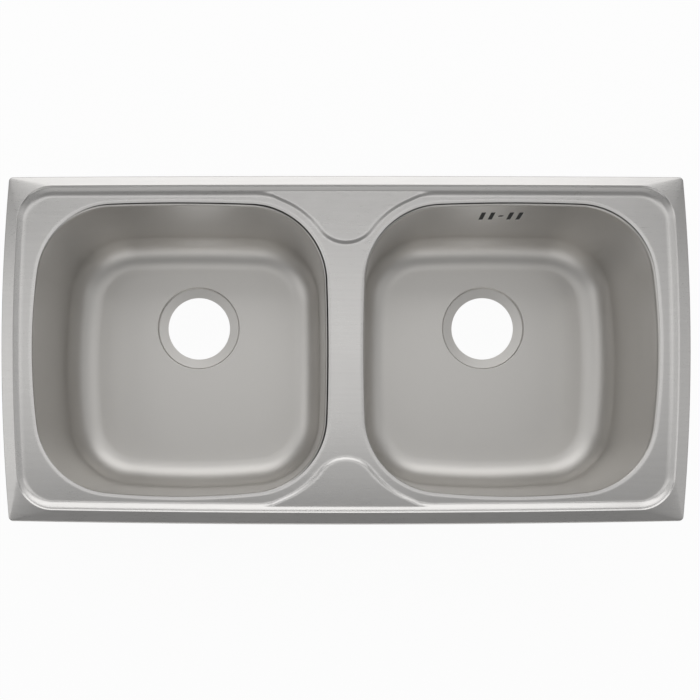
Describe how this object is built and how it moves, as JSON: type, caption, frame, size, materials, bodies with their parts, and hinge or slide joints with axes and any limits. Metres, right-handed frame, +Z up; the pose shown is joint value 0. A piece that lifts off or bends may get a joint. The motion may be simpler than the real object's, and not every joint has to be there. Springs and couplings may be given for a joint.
{
  "type": "double bowl kitchen sink",
  "caption": "Inset double bowl kitchen sink of brushed stainless steel, with a stepped rim, open waste holes, an overflow in the right bowl and swinging screw clips underneath.",
  "frame": {"origin": "middle of the worktop's cut-out, on the worktop's upper surface, where the rim's seal rests", "axes": "+X to the right along the sink's length, +Y to the back of the worktop, +Z up out of the cut-out"},
  "size_m": [0.86, 0.4349, 0.1668],
  "materials": {
    "brushed_deck": "fine brushing along the sink's length",
    "satin_bowl": "satin, drawn smooth",
    "seal_foam": "closed-cell foam",
    "sound_pad": "pressed bitumen sheet",
    "clip_strip": "zinc-plated strip, dull",
    "clip_screw": "bright zinc plate"
  },
  "bodies": {
    "sink": {"deck": "brushed_deck", "left_bowl": "satin_bowl", "right_bowl": "satin_bowl", "rim_seal": "seal_foam", "left_sound_pad": "sound_pad", "right_sound_pad": "sound_pad", "earth_tag": "clip_strip", "hinge_pins": "clip_screw", "clip_lug_front_left": "clip_strip", "clip_lug_front_middle": "clip_strip", "clip_lug_front_right": "clip_strip", "clip_lug_right": "clip_strip", "clip_lug_back_right": "clip_strip", "clip_lug_back_middle": "clip_strip", "clip_lug_back_left": "clip_strip", "clip_lug_left": "clip_strip"},
    "arm_front_left": {"clip_arm_front_left": "clip_strip"},
    "claw_front_left": {"clip_claw_front_left": "clip_strip"},
    "screw_front_left": {"clip_screw_front_left": "clip_screw"},
    "arm_front_middle": {"clip_arm_front_middle": "clip_strip"},
    "claw_front_middle": {"clip_claw_front_middle": "clip_strip"},
    "screw_front_middle": {"clip_screw_front_middle": "clip_screw"},
    "arm_front_right": {"clip_arm_front_right": "clip_strip"},
    "claw_front_right": {"clip_claw_front_right": "clip_strip"},
    "screw_front_right": {"clip_screw_front_right": "clip_screw"},
    "arm_right": {"clip_arm_right": "clip_strip"},
    "claw_right": {"clip_claw_right": "clip_strip"},
    "screw_right": {"clip_screw_right": "clip_screw"},
    "arm_back_right": {"clip_arm_back_right": "clip_strip"},
    "claw_back_right": {"clip_claw_back_right": "clip_strip"},
    "screw_back_right": {"clip_screw_back_right": "clip_screw"},
    "arm_back_middle": {"clip_arm_back_middle": "clip_strip"},
    "claw_back_middle": {"clip_claw_back_middle": "clip_strip"},
    "screw_back_middle": {"clip_screw_back_middle": "clip_screw"},
    "arm_back_left": {"clip_arm_back_left": "clip_strip"},
    "claw_back_left": {"clip_claw_back_left": "clip_strip"},
    "screw_back_left": {"clip_screw_back_left": "clip_screw"},
    "arm_left": {"clip_arm_left": "clip_strip"},
    "claw_left": {"clip_claw_left": "clip_strip"},
    "screw_left": {"clip_screw_left": "clip_screw"}
  },
  "joints": [
    {"name": "swing_front_left", "type": "hinge", "parent": "sink", "child": "arm_front_left", "pos_m": [-0.365, -0.199, -0.007], "axis": [1, 0, 0], "range_deg": [0, 14]},
    {"name": "lift_front_left", "type": "slide", "parent": "arm_front_left", "child": "claw_front_left", "axis": [0, 0, 1], "range_m": [0, 0.012]},
    {"name": "turn_front_left", "type": "hinge", "parent": "claw_front_left", "child": "screw_front_left", "pos_m": [-0.365, -0.199, -0.046], "axis": [0, 0, 1], "range_deg": [0, 5400]},
    {"name": "swing_front_middle", "type": "hinge", "parent": "sink", "child": "arm_front_middle", "pos_m": [0, -0.199, -0.007], "axis": [1, 0, 0], "range_deg": [0, 14]},
    {"name": "lift_front_middle", "type": "slide", "parent": "arm_front_middle", "child": "claw_front_middle", "axis": [0, 0, 1], "range_m": [0, 0.012]},
    {"name": "turn_front_middle", "type": "hinge", "parent": "claw_front_middle", "child": "screw_front_middle", "pos_m": [0, -0.199, -0.046], "axis": [0, 0, 1], "range_deg": [0, 5400]},
    {"name": "swing_front_right", "type": "hinge", "parent": "sink", "child": "arm_front_right", "pos_m": [0.365, -0.199, -0.007], "axis": [1, 0, 0], "range_deg": [0, 14]},
    {"name": "lift_front_right", "type": "slide", "parent": "arm_front_right", "child": "claw_front_right", "axis": [0, 0, 1], "range_m": [0, 0.012]},
    {"name": "turn_front_right", "type": "hinge", "parent": "claw_front_right", "child": "screw_front_right", "pos_m": [0.365, -0.199, -0.046], "axis": [0, 0, 1], "range_deg": [0, 5400]},
    {"name": "swing_right", "type": "hinge", "parent": "sink", "child": "arm_right", "pos_m": [0.406, 0, -0.007], "axis": [0, 1, 0], "range_deg": [0, 14]},
    {"name": "lift_right", "type": "slide", "parent": "arm_right", "child": "claw_right", "axis": [0, 0, 1], "range_m": [0, 0.012]},
    {"name": "turn_right", "type": "hinge", "parent": "claw_right", "child": "screw_right", "pos_m": [0.406, 0, -0.046], "axis": [0, 0, 1], "range_deg": [0, 5400]},
    {"name": "swing_back_right", "type": "hinge", "parent": "sink", "child": "arm_back_right", "pos_m": [0.365, 0.199, -0.007], "axis": [-1, 0, 0], "range_deg": [0, 14]},
    {"name": "lift_back_right", "type": "slide", "parent": "arm_back_right", "child": "claw_back_right", "axis": [0, 0, 1], "range_m": [0, 0.012]},
    {"name": "turn_back_right", "type": "hinge", "parent": "claw_back_right", "child": "screw_back_right", "pos_m": [0.365, 0.199, -0.046], "axis": [0, 0, 1], "range_deg": [0, 5400]},
    {"name": "swing_back_middle", "type": "hinge", "parent": "sink", "child": "arm_back_middle", "pos_m": [0, 0.199, -0.007], "axis": [-1, 0, 0], "range_deg": [0, 14]},
    {"name": "lift_back_middle", "type": "slide", "parent": "arm_back_middle", "child": "claw_back_middle", "axis": [0, 0, 1], "range_m": [0, 0.012]},
    {"name": "turn_back_middle", "type": "hinge", "parent": "claw_back_middle", "child": "screw_back_middle", "pos_m": [0, 0.199, -0.046], "axis": [0, 0, 1], "range_deg": [0, 5400]},
    {"name": "swing_back_left", "type": "hinge", "parent": "sink", "child": "arm_back_left", "pos_m": [-0.365, 0.199, -0.007], "axis": [-1, 0, 0], "range_deg": [0, 14]},
    {"name": "lift_back_left", "type": "slide", "parent": "arm_back_left", "child": "claw_back_left", "axis": [0, 0, 1], "range_m": [0, 0.012]},
    {"name": "turn_back_left", "type": "hinge", "parent": "claw_back_left", "child": "screw_back_left", "pos_m": [-0.365, 0.199, -0.046], "axis": [0, 0, 1], "range_deg": [0, 5400]},
    {"name": "swing_left", "type": "hinge", "parent": "sink", "child": "arm_left", "pos_m": [-0.406, 0, -0.007], "axis": [0, -1, 0], "range_deg": [0, 10.5]},
    {"name": "lift_left", "type": "slide", "parent": "arm_left", "child": "claw_left", "axis": [0, 0, 1], "range_m": [0, 0.012]},
    {"name": "turn_left", "type": "hinge", "parent": "claw_left", "child": "screw_left", "pos_m": [-0.406, 0, -0.046], "axis": [0, 0, 1], "range_deg": [0, 5400]}
  ],
  "couplings": [
    {"joint": "turn_front_left", "follows": "lift_front_left", "rad_per_m": 7854},
    {"joint": "turn_front_middle", "follows": "lift_front_middle", "rad_per_m": 7854},
    {"joint": "turn_front_right", "follows": "lift_front_right", "rad_per_m": 7854},
    {"joint": "turn_right", "follows": "lift_right", "rad_per_m": 7854},
    {"joint": "turn_back_right", "follows": "lift_back_right", "rad_per_m": 7854},
    {"joint": "turn_back_middle", "follows": "lift_back_middle", "rad_per_m": 7854},
    {"joint": "turn_back_left", "follows": "lift_back_left", "rad_per_m": 7854},
    {"joint": "turn_left", "follows": "lift_left", "rad_per_m": 7854}
  ]
}
